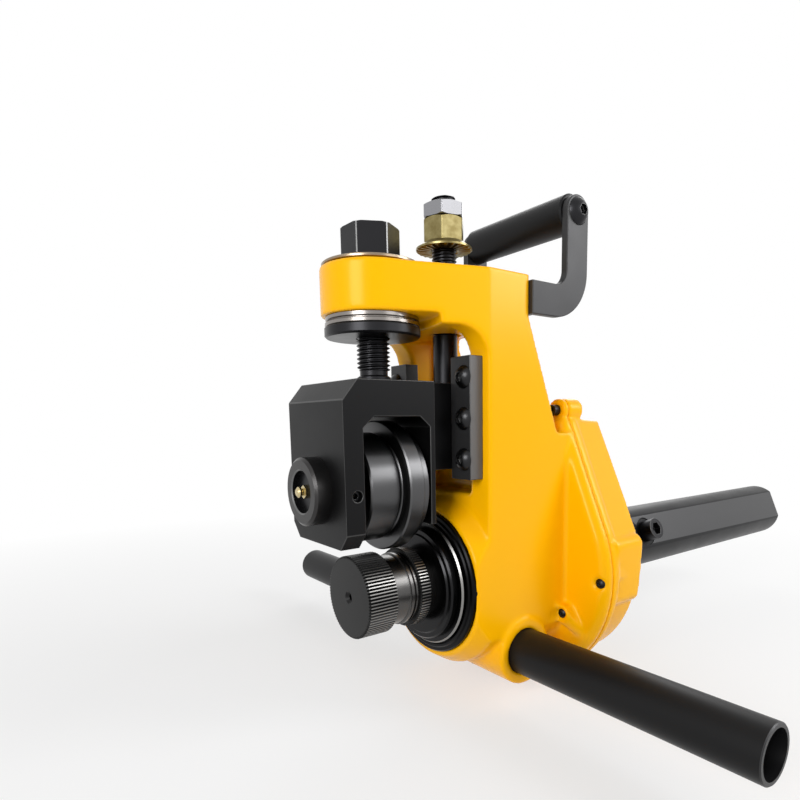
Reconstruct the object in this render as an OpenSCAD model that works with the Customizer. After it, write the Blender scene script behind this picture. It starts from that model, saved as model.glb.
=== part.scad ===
// Roll groover head for a power drive: a cast C-frame carries a knurled drive roll,
// and a sliding housing presses the upper groove roll down onto the pipe between them.
// Units are millimetres. +Y runs from the pipe side to the drive bar, +Z is up.
// The origin is the centre of the drive roll's front face.

/* [Casting] */
// Half the width of the column
column_half = 48; // [44:1:52]
// Front face of the column, where the guide plates seat
column_front = 72; // [68:1:76]
// Rear face of the arm
arm_rear = 105; // [102:1:110]
// Underside of the arm
arm_low = 160.5; // [159:0.5:164]
// Top of the arm
arm_top = 193.5; // [190:0.5:200]
// Radius of the arm's round nose
nose_r = 30; // [27:0.5:33]
// Height of the machined seat on top of the arm's nose
seat_step = 0.8; // [0.5:0.1:2]
// Depth of the machined seat under the arm's nose
seat_depth = 6; // [5:0.5:7]
// Half the width of the slide channel in the column
channel_half = 30; // [27:1:32]
// Depth of the slide channel behind the column's front face
channel_depth = 20; // [18:1:22]
// Floor of the slide channel
channel_floor = 60; // [58:1:66]
// Radius of the drive shaft boss at its front face
drive_boss_r = 50.5; // [50:0.5:53]
// Radius of the shaft housing behind the flared boss
barrel_r = 57.5; // [55:0.5:60]
// Front face of the drive shaft boss
drive_boss_front = 61; // [58:1:64]
// Radius of the cross boss for the support tube
tube_boss_r = 22; // [19:1:24]
// Half the length of the cross boss
tube_boss_half = 50; // [49:1:54]

/* [Gear case] */
// Radius of the case round the large gear
case_r = 82; // [80:1:86]
// Top of the case above the drive axis
case_top = 108; // [106:1:112]
// Half the width between the case's two top corner centres
case_corner_x = 37; // [34:1:40]
// Radius of the case's top corners
case_corner_r = 8; // [7:1:10]
// Front face of the case
case_front_y = 142; // [140:1:144]
// Joint between the casting and the cover
case_split_y = 151; // [150:1:153]
// Rear face of the cover
case_rear_y = 187; // [185:1:190]
// Wall of the cover
cover_wall = 6; // [5:0.5:7]
// Radius of the screw lugs
lug_r = 8; // [7:0.5:9]

/* [Gears] */
// Gear module
gear_module = 2; // [1.75:0.25:2]
// Teeth on the drive gear
gear_teeth = 60; // [56:2:60]
// Teeth on the pinion
pinion_teeth = 18; // [17:1:18]
// Width of the gear teeth
gear_width = 18; // [14:1:20]
// Side play between meshing teeth
backlash = 0.3; // [0.2:0.05:0.5]
// Side of the square socket in the pinion for a ratchet
socket_square = 12.9; // [12.7:0.1:13.2]

/* [Drive roll and shaft] */
// Radius of the knurled lands
drive_roll_r = 25.4; // [24:0.1:26]
// Length of the front knurled land
front_land = 20; // [18:0.5:21]
// Width of the groove that the pipe is pressed into
groove_w = 11; // [10:0.5:12]
// Radius at the bottom of the groove
groove_r = 22; // [20:0.5:22.5]
// Length of the two thin rings behind the groove
ring_w = 5.5; // [5:0.5:6]
// Length of the rear knurled land
rear_land = 8; // [7:0.5:9]
// Front face of the stop flange
flange_front = 51; // [50:0.5:52]
// Thickness of the stop flange
flange_t = 5; // [4:0.5:5.5]
// Radius of the stop flange
flange_r = 37; // [34:0.5:39]
// Radius of the collar behind the stop flange
collar_r = 41; // [40:0.5:42]
// Radius of the drive shaft's journals
shaft_r = 20; // [18:0.5:21]
// Wall of the drive shaft bushes
bush_wall = 4; // [3:0.5:5]
// Radius of the round drive bar
bar_r = 26.6; // [25:0.2:28]
// Free gap between the cover's hub and the drive bar
bar_gap = 5; // [3:0.5:8]
// Rear end of the drive bar
bar_rear = 537; // [480:1:560]
// Depth of the three chuck flats below the round
flat_depth = 4; // [3:0.5:5]
// Start of the chuck flats
flat_start = 262; // [255:1:270]
// Angle of the first flat above the +X axis
flat_angle = 22; // [0:1:60]

/* [Slide housing] */
// Height of the groove roll's axle above the drive axis
axle_z = 67; // [66.5:0.5:68]
// Front face of the housing
housing_front = -18; // [-20:0.5:-16]
// Rear face of the housing's wide block
housing_rear = 42; // [39:0.5:43]
// Half the width of the housing
housing_half = 34; // [32:0.5:36]
// Top of the housing
housing_top = 128.5; // [126:0.5:131]
// Bottom of the housing's cheek
housing_low = 36; // [35:0.5:38]
// Thickness of the front cheek
cheek_t = 12; // [10:0.5:13]
// Top of the roll window
window_top = 108.5; // [108:0.5:110]
// Bottom of the tongue that runs in the channel
tongue_low = 76; // [73:1:80]
// Clearance of the tongue in its channel
slide_gap = 0.3; // [0.2:0.05:0.4]

/* [Groove roll and axle] */
// Radius of the roll's front land
roll_land_r = 32.5; // [31:0.5:34]
// Radius of the ridge that presses the groove
ridge_r = 39.5; // [38:0.5:40]
// Width of the ridge
ridge_w = 10; // [9:0.5:10.5]
// Radius of the roll's rear ring
rear_ring_r = 36; // [34:0.5:36.5]
// Radius of the axle
axle_r = 12; // [10:0.5:14]
// Radius of the axle's head
axle_head_r = 19.5; // [18:0.5:21]
// Thickness of the axle's head
axle_head_t = 10; // [8:0.5:11]

/* [Guide plates] */
// Inner edge of each guide plate
plate_inner = 24; // [22:0.5:25]
// Outer edge of each guide plate
plate_outer = 42; // [40:0.5:44]
// Thickness of the guide plates
plate_t = 10; // [8:0.5:12]
// Length of the guide plates
plate_len = 73.6; // [70:0.2:76]
// Middle of the guide plates above the drive axis
plate_z = 107; // [106:0.5:108]
// Spacing of the guide plate screws
plate_pitch = 24.5; // [22:0.5:26]

/* [Feed screw] */
// Distance of the feed screw behind the drive roll's face
screw_y = 22.3; // [20:0.1:24]
// Nominal diameter of the feed screw
screw_d = 20; // [18:1:22]
// Width across the flats of the feed screw's head
screw_hex = 30; // [27:1:32]
// Height of the feed screw's head
screw_head_h = 17; // [15:1:20]
// Free height between the arm's washer and the screw's head
head_gap = 3.5; // [3.5:0.1:6]
// Depth of the feed screw's plain end in the housing
screw_seat = 15; // [13:0.5:16]
// Radius of the feed nut's flange
nut_disc_r = 28.3; // [26:0.1:29]
// Thickness of the feed nut's flange
nut_disc_t = 6; // [5:0.5:7]

/* [Depth stop] */
// Distance of the depth stud behind the drive roll's face
stud_y = 77; // [76:0.5:78]
// Nominal diameter of the depth stud
stud_d = 16; // [14:1:16]
// Height of the depth stud above the arm
stud_rise = 51; // [48:0.5:56]
// Free height between the arm and the depth stop nut at rest
stop_rise = 19; // [18:0.5:20]
// Width across the flats of the stop nut and the lock nut
nut_hex = 24; // [22:1:24]
// Radius of the stop nut's flange
nut_flange_r = 17.9; // [16:0.1:18.5]

/* [Support tube and handle] */
// Outer radius of the support tube
tube_r = 15; // [14:0.5:16]
// Wall of the support tube
tube_wall = 2.5; // [2:0.25:4]
// Distance of the tube's axis behind the drive roll's face
tube_y = 102.5; // [101:0.5:104]
// Depth of the tube's axis below the drive axis
tube_drop = 45; // [44.5:0.5:46]
// Left end of the tube
tube_left = -262; // [-300:1:-200]
// Right end of the tube
tube_right = 204; // [150:1:240]
// Outer radius of the carry handle's grip
grip_r = 12; // [11:0.5:14]
// Distance of the grip's axis behind the drive roll's face
grip_y = 146; // [142:1:152]
// Height of the grip's axis above the arm
grip_rise = 43.5; // [40:0.5:48]
// Half the length of the grip between its brackets
grip_half = 46; // [42:1:50]
// Width of the handle bracket's bar
bracket_w = 20; // [18:0.5:22]
// Thickness of the handle bracket's bar
bracket_t = 5; // [4:0.5:6]

/* [Hidden] */
$fn = 72;

fit = 0.05;
small = 0.01;
thru = 400;

cast_yellow = "#FFBA05";
black_steel = "#2C2C2C";
dark_steel = "#3A3A3A";
grey_steel = "#6E6E6E";
bright_steel = "#C8C8C8";
zinc_yellow = "#D8C98A";
bronze = "#B08D57";

seat_top = arm_top + seat_step;
seat_low = arm_low + seat_depth;
channel_rear = column_front + channel_depth;
arch_r = 18;
window_low = 135;
window_half = plate_inner;
window_arch = 6;
window_top_z = arm_low + 2;
bracket_low_z = arm_top - 13.5;
rear_top_z = bracket_low_z - bracket_w / 2 - 1;
rear_mid_z = 97;
rear_mid_y = case_front_y - 9;
seat_sweep = 110;

lug_x = case_corner_x - 2;
lug_z = case_top + 4;
lug_front_y = case_split_y - 5;
lug_rear_y = case_split_y + 14;
pad_r = 8;
pad_high = [case_r - pad_r - 1, 20];
pad_low = [case_r - pad_r - 3, -13];
cover_round_r = case_r - 6;
cover_rim = 6;
cover_draft = 3.5;
cover_edge = 5;
m5_r = 2.5;
m5_head_r = 4.6;
m5_head_h = 2.8;
m5_key = 3;
m4_r = 2;
m4_head_r = 3.8;
m4_head_h = 2.2;
m4_key = 2.5;
rim_recess = 2.4;
rim_recess_r = m4_head_r + 0.7;
plug_x = column_half + 3.5;
plug_z = -26;
plug_lug_r = rim_recess_r + 1.7;
plug_front = case_front_y - 8;
plug_len = 10;
rim_screw_len = case_split_y - case_front_y - rim_recess + cover_rim - 1;
rim_screw_r = case_r - 6;
top_screws = [[lug_x, lug_z], [-lug_x, lug_z]];
rim_screws = [for (a = [-1, -55, -125, -179]) [rim_screw_r * cos(a), rim_screw_r * sin(a)]];

gear_r = gear_module * gear_teeth / 2;
pinion_r = gear_module * pinion_teeth / 2;
pinion_z = gear_r + pinion_r;
gear_y = case_split_y + 7;
hub_r = shaft_r + 10;
bush_r = shaft_r + bush_wall;
front_bush_len = 60;
bush_start = drive_boss_front + 3;
rear_hub_r = bush_r + 8;
rear_hub_y = case_rear_y + 6;
pinion_shaft_r = 10;
pinion_bush_r = pinion_shaft_r + 3;
pinion_front_y = case_split_y - 6;
pinion_rear_y = case_rear_y + 4;
socket_r = 13;
socket_depth = 13;
socket_front = pinion_rear_y + 0.5;
socket_rear = socket_front + socket_depth + 5;
socket_spigot_r = 7;
key_w = 8;
key_h = 7;

retainer_r = 47.5;
retainer_front = drive_boss_front - 2;
retainer_back = bush_start;
flange_back = flange_front + flange_t;
collar_t = 4;
shaft_front = flange_back + collar_t;
roll_rear = flange_front - 1;
roll_neck_r = groove_r;
ring_gap = 1.2;
ring_r = groove_r + 1;
ring_mid = front_land + groove_w + ring_w / 2;
rear_land_start = front_land + groove_w + ring_w;
rear_land_end = rear_land_start + rear_land;
spigot_r = 12;
spigot_end = shaft_front + 30;
stub_r = 17;
bar_front = rear_hub_y + bar_gap;
stub_end = bar_front + 92;
bar_screw_y = stub_end - 9;
bar_screw_d = 12;
bar_chamfer = 4;

roll_front_y = -1;
ridge_start = front_land + 1;
ridge_end = ridge_start + ridge_w;
roll_rear_y = ridge_end + 6;
roll_relief = 3;
window_front = housing_front + cheek_t;
window_rear = housing_rear;
rear_wall_start = roll_rear_y + 1.5;
axle_end = housing_rear + 9;
roll_bush_r = axle_r + 3;
head_recess_r = 12.4;
head_recess_d = 4;
axle_end_gap = 5;
set_screw_r = 3;
set_screw_y = housing_front + 7.4;

plate_front = column_front - plate_t;
plate_low = plate_z - plate_len / 2;
plate_screw_x = (plate_outer + channel_half) / 2;
m8_r = 4;
m8_head_r = 7;
m8_head_h = 4.4;
m8_key = 5;
m8_grip = 15;

washer_t = 1.9;
washer_r = nut_disc_r + 0.5;
seat_back = screw_y + nut_disc_r + 0.6;
shim_r = nut_disc_r - 0.8;
shim_t = 6;
shim_groove = 0.8;
nut_body_r = screw_d / 2 + 6;
nut_disc_top = seat_low - shim_t;
nut_disc_low = nut_disc_top - nut_disc_t;
head_low = seat_top + washer_t + head_gap;
screw_low = housing_top - screw_seat;
screw_groove_z = screw_low + 6.5;
screw_pin_r = 2.5;
screw_hole_r = screw_d / 2 + fit;

nut_flange_t = 4;
stop_nut_h = 19.5;
lock_nut_h = 8.5;
stop_nut_z = arm_top + stop_rise;
stop_nut_top = stop_nut_z + stop_nut_h;
stud_top = arm_top + stud_rise;
head_turn = 2;
nut_turn = 17;
stud_low = tongue_low + 20;
tongue_rear = channel_rear - 2;

grip_z = arm_top + grip_rise;
bracket_x = grip_half;
bracket_turn = 20;
bracket_tab_x = 18;
bracket_hole_x = bracket_tab_x + 7;
bolt_head_r = 8.7;
bolt_head_h = 5;

// Outline shared by the casting's case face and the cover, shrunk by inset
module case_outline(inset = 0) {
    big = case_r - inset;
    corner = case_corner_r - min(inset, case_corner_r - 1);
    cz = case_top - inset - corner;
    cx = case_corner_x + case_corner_r - inset - corner;
    reach = sqrt(cx * cx + cz * cz);
    tilt = atan2(cz, cx) - acos((big - corner) / reach);
    tangent = [cos(tilt), sin(tilt)];
    circle(big, $fn = 144);
    for (side = [-1, 1]) translate([side * cx, cz]) circle(corner);
    polygon([
        [0, 0], [big * tangent[0], big * tangent[1]],
        [cx + corner * tangent[0], cz + corner * tangent[1]], [cx, cz + corner],
        [-cx, cz + corner], [-cx - corner * tangent[0], cz + corner * tangent[1]],
        [-big * tangent[0], big * tangent[1]]
    ]);
}

// Turns an outline drawn in X and Z into a solid that runs along +Y from start to end
module along_y(start, end) translate([0, end, 0]) rotate([90, 0, 0])
    linear_extrude(end - start) children();

// Round bar along +Y, or a ring when it has a bore
module round_y(r, start, end, bore = 0, x = 0, z = 0) translate([x, start, z]) rotate([-90, 0, 0])
    difference() {
        cylinder(r = r, h = end - start);
        if (bore > 0) translate([0, 0, -small]) cylinder(r = bore, h = end - start + 2 * small);
    }

// Round bar along +X
module round_x(r, start, end, y = 0, z = 0) translate([start, y, z]) rotate([0, 90, 0])
    cylinder(r = r, h = end - start);

// Button head cap screw whose head points along -Y and seats at the origin
module button_screw(r, head_r, head_h, length, key) {
    rotate([90, 0, 0]) difference() {
        rotate_extrude() intersection() {
            translate([0, head_h - (head_r * head_r + head_h * head_h) / (2 * head_h)])
                circle((head_r * head_r + head_h * head_h) / (2 * head_h), $fn = 96);
            square([head_r, head_h]);
        }
        translate([0, 0, head_h * 0.35]) cylinder(r = key / sqrt(3), h = head_h, $fn = 6);
    }
    rotate([-90, 0, 0]) cylinder(r = r, h = length);
}

// Socket head cap screw whose head points along -Y and seats at the origin
module socket_screw(r, length) {
    rotate([90, 0, 0]) difference() {
        cylinder(r = r * 1.5, h = r * 2);
        translate([0, 0, r]) cylinder(r = r * 0.95, h = r * 2, $fn = 6);
    }
    rotate([-90, 0, 0]) cylinder(r = r, h = length);
}

// Spur gear outline with involute flanks, a tooth on the +Y axis of its own plane
function involute(base, t) = [
    base * (cos(t) + t * PI / 180 * sin(t)), base * (sin(t) - t * PI / 180 * cos(t))
];
function turned(p, a) = [p[0] * cos(a) - p[1] * sin(a), p[0] * sin(a) + p[1] * cos(a)];
function flank_angle(base, r) = sqrt(pow(r / base, 2) - 1) * 180 / PI;
module gear_outline(teeth) {
    pitch = gear_module * teeth / 2;
    base = pitch * cos(20);
    tip = pitch + gear_module;
    root = pitch - 1.25 * gear_module;
    lean = flank_angle(base, pitch) - 20;
    half = 90 / teeth - backlash / 2 / pitch * 180 / PI + lean;
    steps = 5;
    first = root > base ? flank_angle(base, root) : 0;
    last = flank_angle(base, tip);
    flank = [for (i = [0:steps]) turned(involute(base, first + (last - first) * i / steps), -half)];
    tooth = concat([turned([root, 0], -half)], flank,
        [for (i = [steps:-1:0]) [flank[i][0], -flank[i][1]]], [turned([root, 0], half)]);
    polygon([for (k = [0:teeth - 1]) for (p = tooth) turned(p, 90 + k * 360 / teeth)]);
}

// Plan of the arm and column: a round nose that flares out to the column's width
module plan_outline() {
    reach = sqrt(column_half * column_half + pow(column_front - screw_y, 2));
    lean = atan2(column_half, column_front - screw_y) - asin(nose_r / reach);
    translate([0, screw_y]) circle(nose_r, $fn = 120);
    polygon([
        [nose_r * cos(lean), screw_y - nose_r * sin(lean)], [column_half, column_front],
        [column_half, case_split_y], [-column_half, case_split_y],
        [-column_half, column_front], [-nose_r * cos(lean), screw_y - nose_r * sin(lean)]
    ]);
}

// Side view of the C-frame, drawn in Y and Z
module side_outline() difference() {
    union() {
        polygon([
            [screw_y - nose_r - 5, arm_low], [screw_y - nose_r - 5, arm_top], [arm_rear, arm_top],
            [arm_rear, rear_top_z], [rear_mid_y, rear_mid_z], [case_split_y - 1, rear_mid_z],
            [case_split_y - 1, 0], [column_front, 0], [column_front, arm_low]
        ]);
        translate([column_front - arch_r, arm_low - arch_r])
            square([arch_r + small, arch_r + small]);
    }
    translate([column_front - arch_r, arm_low - arch_r]) circle(arch_r);
}

// Cast C-frame with its arm, column, shaft housing, cross boss and case face
module main_body() color(cast_yellow) difference() {
    union() {
        column_solid();
        translate([0, screw_y, arm_top - small]) cylinder(r = nose_r - 1, h = seat_step + small);
        intersection() {
            translate([0, drive_boss_front, 0]) rotate([-90, 0, 0])
                cylinder(r1 = drive_boss_r, r2 = barrel_r, h = column_front - drive_boss_front);
            translate([-column_half, 0, -thru]) cube([2 * column_half, thru, 2 * thru]);
        }
        round_x(tube_boss_r, -tube_boss_half, tube_boss_half, tube_y, -tube_drop);
        hull() {
            along_y(case_front_y, case_front_y + small) case_outline(4);
            along_y(case_front_y + 4, case_split_y) case_outline();
        }
        for (side = [-1, 1]) round_y(lug_r, lug_front_y, case_split_y, 0, side * lug_x, lug_z);
        plug_lug();
    }
    round_y(m4_r + fit, plug_front, plug_front + plug_len, 0, plug_x, plug_z);
    round_y(rim_recess_r, plug_front - 6, plug_front + rim_recess, 0, plug_x, plug_z);
    channel_cuts();
    arm_cuts();
    shaft_cuts();
    round_x(tube_r + fit, -thru, thru, tube_y, -tube_drop);
    translate([0, tube_y, -tube_drop - tube_boss_r - 1]) cylinder(r = m8_r, h = tube_boss_r);
    for (side = [-1, 1]) for (k = [-1:1])
        round_y(m8_r + fit, column_front - 1, column_front + m8_grip + 2, 0, side * plate_screw_x,
            plate_z + k * plate_pitch);
    for (p = top_screws) round_y(m5_r + fit, case_front_y - 1, case_split_y + 1, 0, p[0], p[1]);
    for (p = rim_screws) {
        round_y(m4_r + fit, case_front_y - 1, case_split_y + 1, 0, p[0], p[1]);
        round_y(rim_recess_r, case_front_y - 14, case_front_y + rim_recess, 0, p[0], p[1]);
    }
}

// Small drafted lug for an oil plug beside the shaft housing
module plug_lug() hull() {
    round_y(plug_lug_r, plug_front, case_front_y + 1, 0, plug_x, plug_z);
    round_y(plug_lug_r - 2, case_front_y - 1, case_front_y + 1, 0, plug_x + 9, plug_z - 10);
}

// Slide channel, its open window above the back wall and the machined floor
module channel_cuts() {
    translate([-channel_half, column_front - 1, channel_floor])
        cube([2 * channel_half, channel_depth + 1, arm_low - channel_floor]);
    translate([-channel_half, column_front - arch_r - 1, arm_low - arch_r - 1])
        cube([2 * channel_half, arch_r + 2, arch_r + 1]);
    along_y(channel_rear - 1, thru) {
        translate([-window_half, window_low])
            square([2 * window_half, window_top_z - window_arch - window_low]);
        for (side = [-1, 1])
            translate([side * (window_half - window_arch), window_top_z - window_arch])
                circle(window_arch);
        translate([window_arch - window_half, window_low])
            square([2 * (window_half - window_arch), window_top_z - window_low]);
    }
}

// Holes and machined seats in the arm
module arm_cuts() {
    hole_h = arm_top - arm_low + 5;
    translate([0, screw_y, arm_low - 1]) cylinder(r = nut_body_r, h = hole_h);
    translate([0, seat_back - seat_sweep, arm_low - 1])
        cylinder(r = seat_sweep, h = seat_low - arm_low + 1, $fn = 240);
    translate([0, stud_y, arm_low - 1]) cylinder(r = stud_d / 2 + 0.5, h = hole_h);
    for (side = [-1, 1]) for (dz = [-1, 1])
        round_y(m5_r + fit, arm_rear - 16, arm_rear + 1, 0, side * bracket_hole_x,
            bracket_low_z + dz * bracket_w * 0.25);
}

// Bores for the drive shaft, its bushes and the pinion
module shaft_cuts() {
    round_y(bush_r, bush_start - 1, case_split_y + 1);
    round_y(retainer_r + fit, drive_boss_front - 1, retainer_back);
    along_y(case_split_y - 4, case_split_y + 1) case_outline(cover_wall + 8);
    round_y(pinion_bush_r, pinion_front_y - 14, case_split_y + 1, 0, 0, pinion_z);
}

// Column, arm and shaft housing before the case face is added
module column_solid() {
    intersection() {
        rotate([90, 0, 90]) translate([0, 0, -column_half - 1])
            linear_extrude(2 * column_half + 2) side_outline();
        translate([0, 0, -small]) linear_extrude(arm_top + 1) plan_outline();
    }
    intersection() {
        round_y(barrel_r, column_front - small, case_split_y - 1);
        translate([-column_half, 0, -thru]) cube([2 * column_half, thru, 2 * thru]);
    }
}

// Deep cast cover that closes the gear case from behind
module gear_cover() color(cast_yellow) difference() {
    union() {
        along_y(case_split_y, case_split_y + cover_rim) case_outline();
        intersection() {
            hull() {
                along_y(case_split_y + cover_rim, case_split_y + cover_rim + 1) case_outline(1);
                along_y(case_rear_y - cover_edge, case_rear_y - cover_edge + 1)
                    case_outline(cover_draft);
                along_y(case_rear_y - 1, case_rear_y) case_outline(cover_draft + cover_edge);
            }
            union() {
                round_y(cover_round_r, case_split_y, case_rear_y + 1);
                translate([-case_r, case_split_y, 0])
                    cube([2 * case_r, case_rear_y - case_split_y + 1, case_top + 1]);
            }
        }
        for (side = [-1, 1]) {
            round_y(lug_r, case_split_y, lug_rear_y, 0, side * lug_x, lug_z);
            cover_pad(side);
        }
        round_y(rear_hub_r, case_rear_y - 1, rear_hub_y);
        round_y(pinion_bush_r + 5, case_rear_y - 1, pinion_rear_y, 0, 0, pinion_z);
    }
    difference() {
        hull() {
            along_y(case_split_y - 1, case_split_y) case_outline(cover_wall);
            along_y(case_rear_y - cover_wall - 1, case_rear_y - cover_wall)
                case_outline(cover_wall + cover_draft);
        }
        difference() {
            translate([-case_r, case_split_y + cover_rim, -case_r])
                cube([2 * case_r, thru, case_r]);
            round_y(cover_round_r - cover_wall, case_split_y, case_rear_y);
        }
        for (p = rim_screws)
            round_y(m4_r + 4, case_split_y - 2, case_split_y + cover_rim + 4, 0, p[0], p[1]);
    }
    round_y(bush_r, case_rear_y - cover_wall - 1, rear_hub_y + 1);
    round_y(pinion_bush_r, case_rear_y - cover_wall - 1, pinion_rear_y + 1, 0, 0, pinion_z);
    for (p = top_screws) round_y(m5_r + fit, case_split_y - 1, lug_rear_y - 4, 0, p[0], p[1]);
    for (p = rim_screws)
        round_y(m4_r + fit, case_split_y - 1, case_split_y + cover_rim - 0.5, 0, p[0], p[1]);
}

// Pad along the cover's flank, between its upper and lower lug
module cover_pad(side) hull() for (p = [pad_high, pad_low])
    round_y(pad_r, case_split_y + cover_rim - 1, case_rear_y - 3, 0, side * p[0], p[1]);

module cover_screws() color(dark_steel) {
    for (p = top_screws) translate([p[0], lug_front_y, p[1]])
        socket_screw(m5_r, case_split_y - lug_front_y + 9);
    for (p = rim_screws) translate([p[0], case_front_y + rim_recess, p[1]])
        button_screw(m4_r, m4_head_r, m4_head_h, rim_screw_len, m4_key);
    translate([plug_x, plug_front + rim_recess, plug_z])
        button_screw(m4_r, m4_head_r, m4_head_h, plug_len - rim_recess - 0.5, m4_key);
}

module front_bush() color(bronze)
    round_y(bush_r, bush_start, bush_start + front_bush_len, shaft_r + fit);
module rear_bush() color(bronze)
    round_y(bush_r, case_rear_y - cover_wall, rear_hub_y, shaft_r + fit);

// Stepped ring that closes the front bush in the shaft boss
module bearing_retainer() color(black_steel) difference() {
    union() {
        round_y(retainer_r, retainer_front, retainer_back);
        round_y(retainer_r - 3, retainer_front - 1, retainer_back);
    }
    round_y(shaft_r + 1, retainer_front - 2, retainer_back + 1);
    round_y(collar_r + 0.8, retainer_front - 2, shaft_front + 0.5);
}

module pinion_front_bush() color(bronze)
    round_y(pinion_bush_r, pinion_front_y - 12, pinion_front_y + 2, pinion_shaft_r + fit, 0, pinion_z);
module pinion_rear_bush() color(bronze)
    round_y(pinion_bush_r, case_rear_y - cover_wall, pinion_rear_y, pinion_shaft_r + fit, 0, pinion_z);

// Flat steel plate that traps the housing's tongue in the channel
module guide_plate(side) color(grey_steel) difference() {
    translate([side > 0 ? plate_inner : -plate_outer, plate_front, plate_low])
        cube([plate_outer - plate_inner, plate_t, plate_len]);
    for (k = [-1:1])
        round_y(m8_r + fit, plate_front - 1, column_front + 1, 0, side * plate_screw_x,
            plate_z + k * plate_pitch);
}
module guide_plate_left() guide_plate(-1);
module guide_plate_right() guide_plate(1);
module guide_screws() color(dark_steel) for (side = [-1, 1]) for (k = [-1:1])
    translate([side * plate_screw_x, plate_front, plate_z + k * plate_pitch])
        button_screw(m8_r, m8_head_r, m8_head_h, plate_t + m8_grip, m8_key);

module disc(r, low, high, bore) translate([0, screw_y, low]) difference() {
    cylinder(r = r, h = high - low);
    translate([0, 0, -small]) cylinder(r = bore, h = high - low + 2 * small);
}
module top_washer() color(bronze)
    disc(washer_r, seat_top, seat_top + washer_t, nut_body_r + 1);

// Two hardened rings between the feed nut and its seat, with a narrow groove between them
module nut_shim() color(bright_steel) {
    mid = (seat_low + nut_disc_top) / 2;
    disc(shim_r, mid + shim_groove / 2, seat_low, nut_body_r + 1);
    disc(shim_r - 1.5, mid - shim_groove / 2 - small, mid + shim_groove / 2 + small, nut_body_r + 1);
    disc(shim_r + 0.4, nut_disc_top, mid - shim_groove / 2, nut_body_r + 1);
}

// Flanged nut fixed under the arm; its spigot fills the arm's bore
module feed_nut() color(black_steel) {
    disc(nut_disc_r, nut_disc_low, nut_disc_top, screw_hole_r);
    disc(nut_body_r - fit, nut_disc_top - small, seat_top, screw_hole_r);
}

// Round steel tube that keeps the head from turning with the chuck
module support_tube() color(black_steel) difference() {
    round_x(tube_r, tube_left, tube_right, tube_y, -tube_drop);
    round_x(tube_r - tube_wall, tube_left - 1, tube_right + 1, tube_y, -tube_drop);
}
module tube_set_screw() color(dark_steel)
    translate([0, tube_y, -tube_drop - tube_boss_r - 2]) difference() {
        cylinder(r = m8_r - fit, h = tube_boss_r + 2 - tube_r);
        translate([0, 0, -1]) cylinder(r = 2.3, h = 4, $fn = 6);
    }

// Flat bar bent against the arm's rear face, then curved up to the grip
module bracket_outline() {
    turn_y = grip_y - bracket_turn;
    translate([arm_rear, bracket_low_z - bracket_w / 2])
        square([turn_y - arm_rear, bracket_w]);
    translate([grip_y - bracket_w / 2, bracket_low_z + bracket_turn])
        square([bracket_w, grip_z - bracket_low_z - bracket_turn]);
    translate([grip_y, grip_z]) circle(bracket_w / 2);
    translate([turn_y, bracket_low_z + bracket_turn]) intersection() {
        difference() {
            circle(bracket_turn + bracket_w / 2);
            circle(bracket_turn - bracket_w / 2);
        }
        translate([0, -thru]) square([thru, thru]);
    }
}
module handle_bracket(side) color(grey_steel) difference() {
    union() {
        rotate([90, 0, 90]) translate([0, 0, side > 0 ? bracket_x : -bracket_x - bracket_t])
            linear_extrude(bracket_t) bracket_outline();
        translate([side > 0 ? bracket_tab_x : -bracket_x - bracket_t, arm_rear,
            bracket_low_z - bracket_w / 2])
            cube([bracket_x + bracket_t - bracket_tab_x, bracket_t, bracket_w]);
    }
    round_x(m8_r + fit, -thru, thru, grip_y, grip_z);
    for (dz = [-1, 1])
        round_y(m5_r + fit, arm_rear - 1, arm_rear + bracket_t + 1, 0, side * bracket_hole_x,
            bracket_low_z + dz * bracket_w * 0.25);
}
module handle_bracket_left() handle_bracket(-1);
module handle_bracket_right() handle_bracket(1);
module bracket_screws() color(dark_steel) for (side = [-1, 1]) for (dz = [-1, 1])
    translate([side * bracket_hole_x, arm_rear + bracket_t, bracket_low_z + dz * bracket_w * 0.25])
        mirror([0, 1, 0]) button_screw(m5_r, m5_head_r, m5_head_h, bracket_t + 12, m5_key);

module handle_grip() color(black_steel) difference() {
    round_x(grip_r, -grip_half, grip_half, grip_y, grip_z);
    round_x(m8_r, -grip_half - 1, grip_half + 1, grip_y, grip_z);
}
module handle_bolts() color(dark_steel) for (side = [-1, 1])
    translate([side * (bracket_x + bracket_t), grip_y, grip_z]) rotate([0, 0, side * 90])
        button_screw(m8_r, bolt_head_r, bolt_head_h, bracket_t + 20, 6);

// Knurled drive roll with the groove that the pipe wall is pressed into
module drive_roll() color(black_steel) difference() {
    translate([0, 0, 0]) rotate([-90, 0, 0]) rotate_extrude($fn = 96) polygon([
        [0, 0], [drive_roll_r, 0], [drive_roll_r, front_land],
        [groove_r, front_land], [groove_r, front_land + groove_w],
        [ring_r, front_land + groove_w], [ring_r, ring_mid - ring_gap / 2],
        [groove_r, ring_mid - ring_gap / 2], [groove_r, ring_mid + ring_gap / 2],
        [ring_r, ring_mid + ring_gap / 2], [ring_r, rear_land_start],
        [drive_roll_r, rear_land_start], [drive_roll_r, rear_land_end],
        [roll_neck_r, rear_land_end], [roll_neck_r, roll_rear],
        [spigot_r, roll_rear], [spigot_r, spigot_end], [0, spigot_end]
    ]);
    translate([0, -1, 0]) rotate([-90, 0, 0]) cylinder(r = 4, h = 9);
    translate([0, -1, 0]) rotate([-90, 0, 0]) cylinder(r = 2, h = 16);
}

// Flange that stops the pipe's end, stepped up to a collar in front of the bearing
module stop_flange() color(black_steel) difference() {
    union() {
        round_y(flange_r, flange_front, flange_back + small);
        round_y(flange_r - 4, roll_rear, flange_front + small);
        round_y(collar_r, flange_back, shaft_front);
    }
    round_y(spigot_r + fit, roll_rear - 1, shaft_front + 1);
}

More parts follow.
